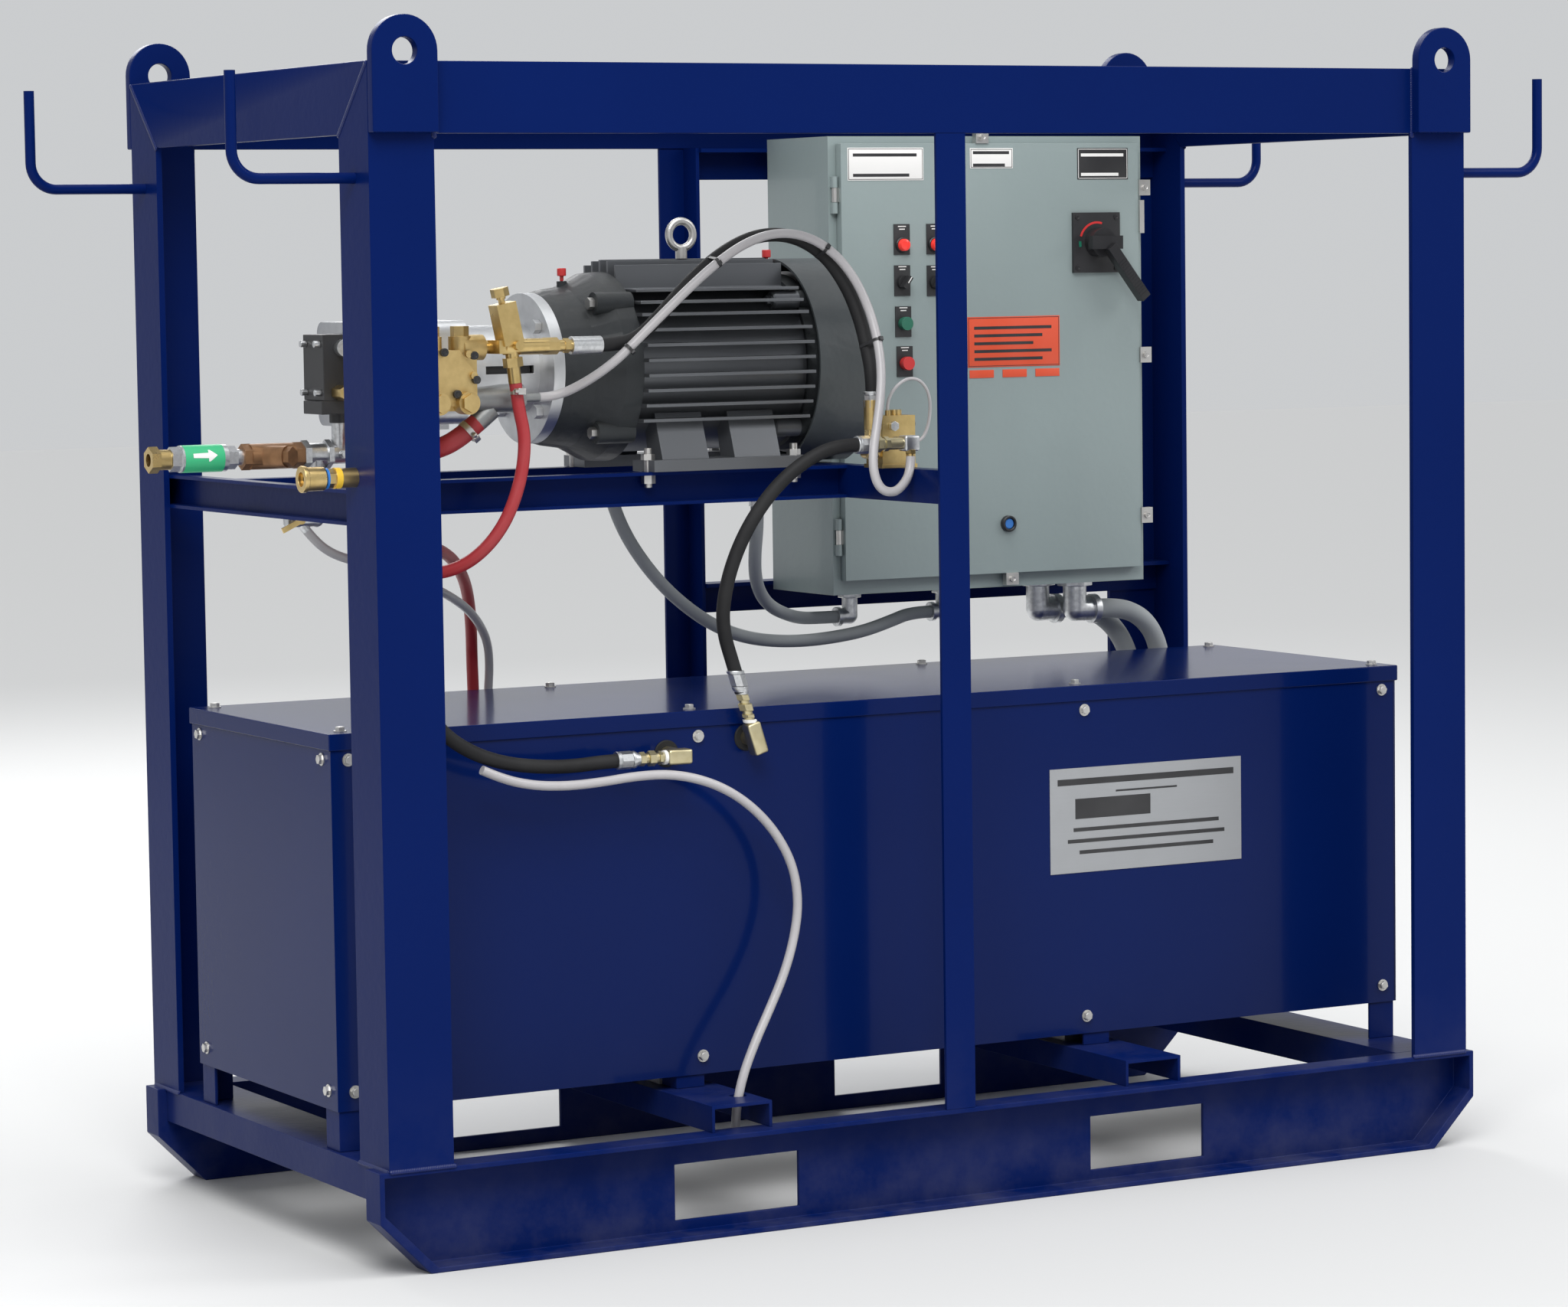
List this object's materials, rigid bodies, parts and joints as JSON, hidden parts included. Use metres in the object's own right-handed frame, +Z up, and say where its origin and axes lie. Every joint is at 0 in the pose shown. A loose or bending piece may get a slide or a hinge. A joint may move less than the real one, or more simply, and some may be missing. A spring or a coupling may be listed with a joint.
{
  "type": "electric hot water pressure washer skid",
  "caption": "Cage-framed skid with fork pockets carrying a motor-driven plunger pump, an electrically heated vessel under a sheet cover, a control enclosure, valves and hoses.",
  "frame": {"origin": "on the floor under the middle of the cage", "axes": "+X along the skid towards the enclosure end, -Y towards the front with the controls, +Z up"},
  "size_m": [2.286, 0.933, 1.789],
  "materials": {
    "painted_blue": "gloss",
    "motor_grey": "satin",
    "steel": "satin",
    "zinc": "satin",
    "aluminium": "satin",
    "brass": "satin",
    "bronze": "matte",
    "enclosure_grey": "satin",
    "black_plastic": "matte",
    "red_plastic": "gloss",
    "green_plastic": "gloss",
    "blue_plastic": "gloss",
    "black_rubber": "matte",
    "red_rubber": "matte",
    "clear_hose": "satin",
    "conduit_grey": "matte"
  },
  "bodies": {
    "frame": {"skid_runners": "painted_blue", "base_channels": "painted_blue", "posts": "painted_blue", "top_rails": "painted_blue", "lifting_lugs": "painted_blue", "hose_hooks": "painted_blue", "deck_beams": "painted_blue", "cover_lid": "painted_blue", "cover_panels": "painted_blue", "cover_legs": "painted_blue", "cover_bolts": "steel", "heater_vessels": "steel", "nameplate": "aluminium", "motor_frame": "motor_grey", "motor_end_bells": "motor_grey", "motor_fan_cowl": "motor_grey", "motor_hardware": "steel", "bell_housing": "aluminium", "pump_crankcase": "aluminium", "pump_plungers": "steel", "pump_manifold": "brass", "unloader_valve": "brass", "inlet_fittings": "zinc", "inlet_strainer": "bronze", "flow_switch": "black_plastic", "outlet_coupler": "brass", "relief_block": "brass", "hose_fittings": "zinc", "enclosure_box": "enclosure_grey", "enclosure_internals": "zinc", "conduit_elbows": "zinc", "hose_pump_to_relief": "black_rubber", "hose_relief_to_heater": "black_rubber", "hose_heater_to_outlet": "black_rubber", "hose_bypass_clear": "clear_hose", "hose_drain_open": "clear_hose", "hose_bypass_red": "red_rubber", "hose_suction_red": "red_rubber", "hose_feed_red": "red_rubber", "hose_strainer_drain": "clear_hose", "tube_relief_loop": "clear_hose", "conduit_motor": "conduit_grey", "conduit_control": "conduit_grey", "conduit_heater_1": "conduit_grey", "conduit_heater_2": "conduit_grey"},
    "drive_line": {"motor_rotor": "steel", "pump_crankshaft": "steel"},
    "unloader_knob": {"unloader_knob": "brass"},
    "inlet_swivel": {"inlet_swivel": "brass"},
    "inlet_lever": {"inlet_valve_lever": "zinc"},
    "drain_lever": {"drain_valve_lever": "zinc"},
    "coupler_sleeve": {"coupler_sleeve": "brass"},
    "door": {"enclosure_door": "enclosure_grey", "door_fittings": "steel"},
    "disconnect_handle": {"disconnect_handle": "black_plastic"},
    "selector_left": {"selector_left": "black_plastic"},
    "selector_right": {"selector_right": "black_plastic"},
    "start_button": {"start_button": "green_plastic"},
    "stop_button": {"stop_button": "red_plastic"},
    "reset_button": {"reset_button": "blue_plastic"}
  },
  "joints": [
    {"name": "drive_spin", "type": "hinge", "parent": "frame", "child": "drive_line", "pos_m": [0, 0, 1.27875], "axis": [1, 0, 0], "continuous": true},
    {"name": "unloader_turn", "type": "hinge", "parent": "frame", "child": "unloader_knob", "pos_m": [-0.612, -0.196, 1.316], "axis": [-0.2079, 0, 0.9781], "range_deg": [-180, 180]},
    {"name": "swivel_spin", "type": "hinge", "parent": "frame", "child": "inlet_swivel", "pos_m": [-1.1, -0.041, 1.16], "axis": [1, 0, 0], "continuous": true},
    {"name": "inlet_lever_turn", "type": "hinge", "parent": "frame", "child": "inlet_lever", "pos_m": [-0.826, -0.0562, 1.16], "axis": [0, 1, 0], "range_deg": [-80, 10]},
    {"name": "drain_lever_turn", "type": "hinge", "parent": "frame", "child": "drain_lever", "pos_m": [-0.896, -0.0578, 1.064], "axis": [0, 1, 0], "range_deg": [-90, 0]},
    {"name": "coupler_slide", "type": "slide", "parent": "frame", "child": "coupler_sleeve", "axis": [1, 0, 0], "range_m": [0, 0.005], "stiffness_N_per_m": 600, "springref_m": -0.002},
    {"name": "door_swing", "type": "hinge", "parent": "frame", "child": "door", "pos_m": [0.1565, 0.178, 1.2], "axis": [0, 0, 1], "range_deg": [-95, 0]},
    {"name": "disconnect_turn", "type": "hinge", "parent": "door", "child": "disconnect_handle", "pos_m": [0.65, 0.184, 1.46], "axis": [0, 1, 0], "range_deg": [0, 90]},
    {"name": "selector_left_turn", "type": "hinge", "parent": "door", "child": "selector_left", "pos_m": [0.275, 0.184, 1.399], "axis": [0, 1, 0], "range_deg": [-80, 0]},
    {"name": "selector_right_turn", "type": "hinge", "parent": "door", "child": "selector_right", "pos_m": [0.337, 0.184, 1.398], "axis": [0, 1, 0], "range_deg": [-80, 0]},
    {"name": "start_button_press", "type": "slide", "parent": "door", "child": "start_button", "axis": [0, 1, 0], "range_m": [0, 0.004], "stiffness_N_per_m": 400, "springref_m": -0.002},
    {"name": "stop_button_press", "type": "slide", "parent": "door", "child": "stop_button", "axis": [0, 1, 0], "range_m": [0, 0.004], "stiffness_N_per_m": 400, "springref_m": -0.002},
    {"name": "reset_button_press", "type": "slide", "parent": "door", "child": "reset_button", "axis": [0, 1, 0], "range_m": [0, 0.002], "stiffness_N_per_m": 400, "springref_m": -0.002}
  ]
}
